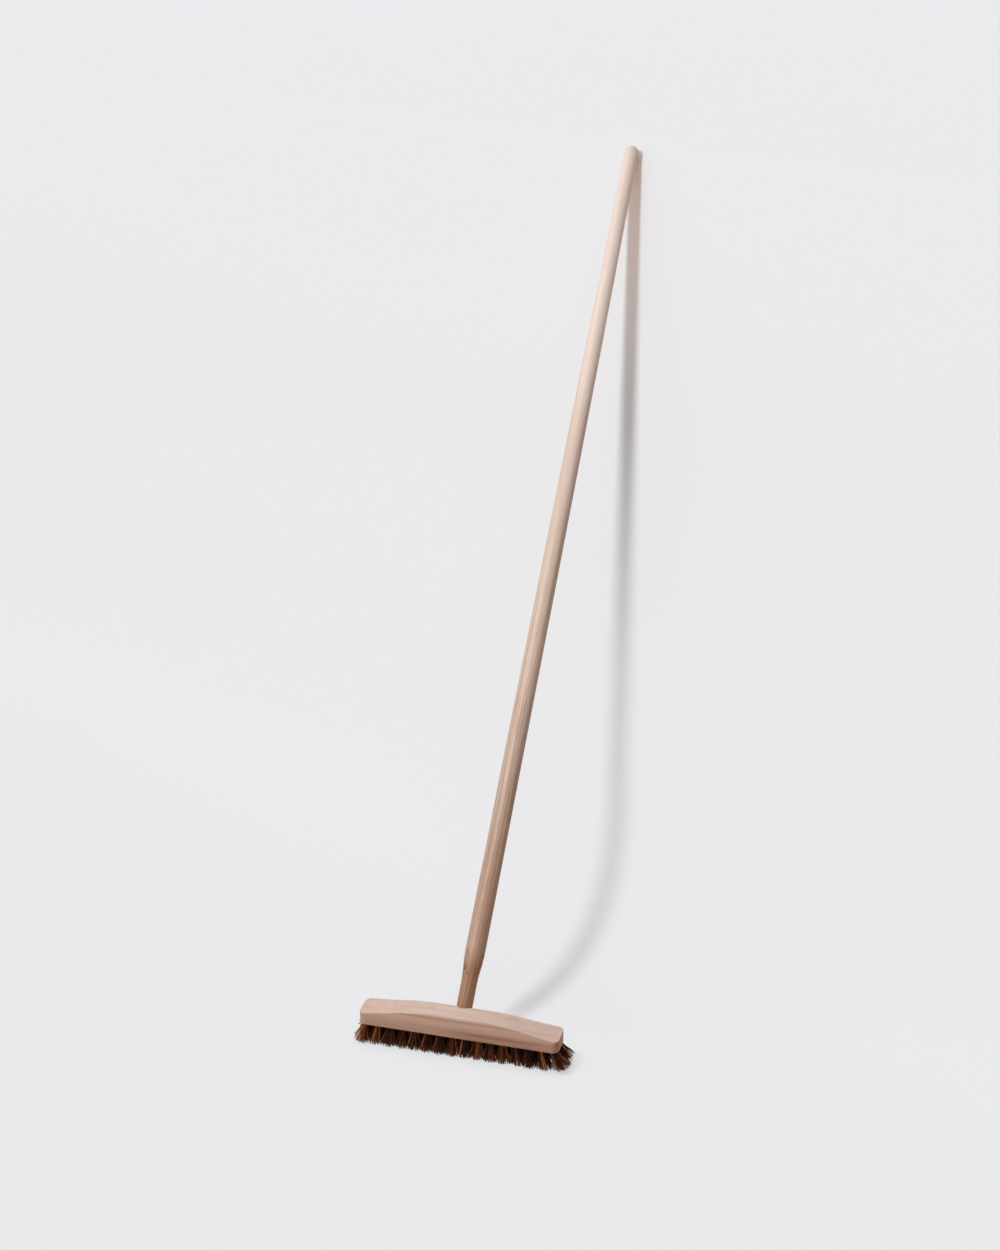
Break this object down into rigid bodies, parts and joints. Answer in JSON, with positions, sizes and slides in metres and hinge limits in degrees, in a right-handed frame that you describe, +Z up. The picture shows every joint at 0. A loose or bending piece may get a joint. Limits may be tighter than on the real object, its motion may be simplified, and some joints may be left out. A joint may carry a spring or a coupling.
{
  "type": "floor scrub brush",
  "caption": "Long-handled floor scrub brush: arched wooden head block set with stiff fibre tufts, and a turned wooden handle leaning back from a slanted socket.",
  "frame": {"origin": "under the middle of the head, on the cut tip of the middle strand of the middle tuft, in the plane on which the bristles stand", "axes": "+Z up from the floor; X along the head, which is mirror symmetric about X = 0; +Y towards the back, the way the handle leans"},
  "size_m": [0.2962, 1.0557, 1.0368],
  "materials": {
    "head_wood": "fine sanded, unvarnished",
    "handle_wood": "turned and sanded, unvarnished",
    "fibre": "raw plant fibre"
  },
  "bodies": {
    "head": {"head_block": "head_wood", "tuft_front_01": "fibre", "tuft_front_02": "fibre", "tuft_front_03": "fibre", "tuft_front_04": "fibre", "tuft_front_05": "fibre", "tuft_front_06": "fibre", "tuft_front_07": "fibre", "tuft_front_08": "fibre", "tuft_front_09": "fibre", "tuft_front_10": "fibre", "tuft_front_11": "fibre", "tuft_front_12": "fibre", "tuft_front_13": "fibre", "tuft_front_14": "fibre", "tuft_front_15": "fibre", "tuft_front_16": "fibre", "tuft_middle_01": "fibre", "tuft_middle_02": "fibre", "tuft_middle_03": "fibre", "tuft_middle_04": "fibre", "tuft_middle_05": "fibre", "tuft_middle_06": "fibre", "tuft_middle_07": "fibre", "tuft_middle_08": "fibre", "tuft_middle_09": "fibre", "tuft_middle_10": "fibre", "tuft_middle_11": "fibre", "tuft_middle_12": "fibre", "tuft_middle_13": "fibre", "tuft_middle_14": "fibre", "tuft_middle_15": "fibre", "tuft_back_01": "fibre", "tuft_back_02": "fibre", "tuft_back_03": "fibre", "tuft_back_04": "fibre", "tuft_back_05": "fibre", "tuft_back_06": "fibre", "tuft_back_07": "fibre", "tuft_back_08": "fibre", "tuft_back_09": "fibre", "tuft_back_10": "fibre", "tuft_back_11": "fibre", "tuft_back_12": "fibre", "tuft_back_13": "fibre", "tuft_back_14": "fibre", "tuft_back_15": "fibre", "tuft_back_16": "fibre"},
    "handle": {"handle": "handle_wood"}
  },
  "joints": [
    {"name": "handle_pull", "type": "slide", "parent": "head", "child": "handle", "axis": [0, 0.7193, 0.6947], "range_m": [0, 0.04]}
  ]
}
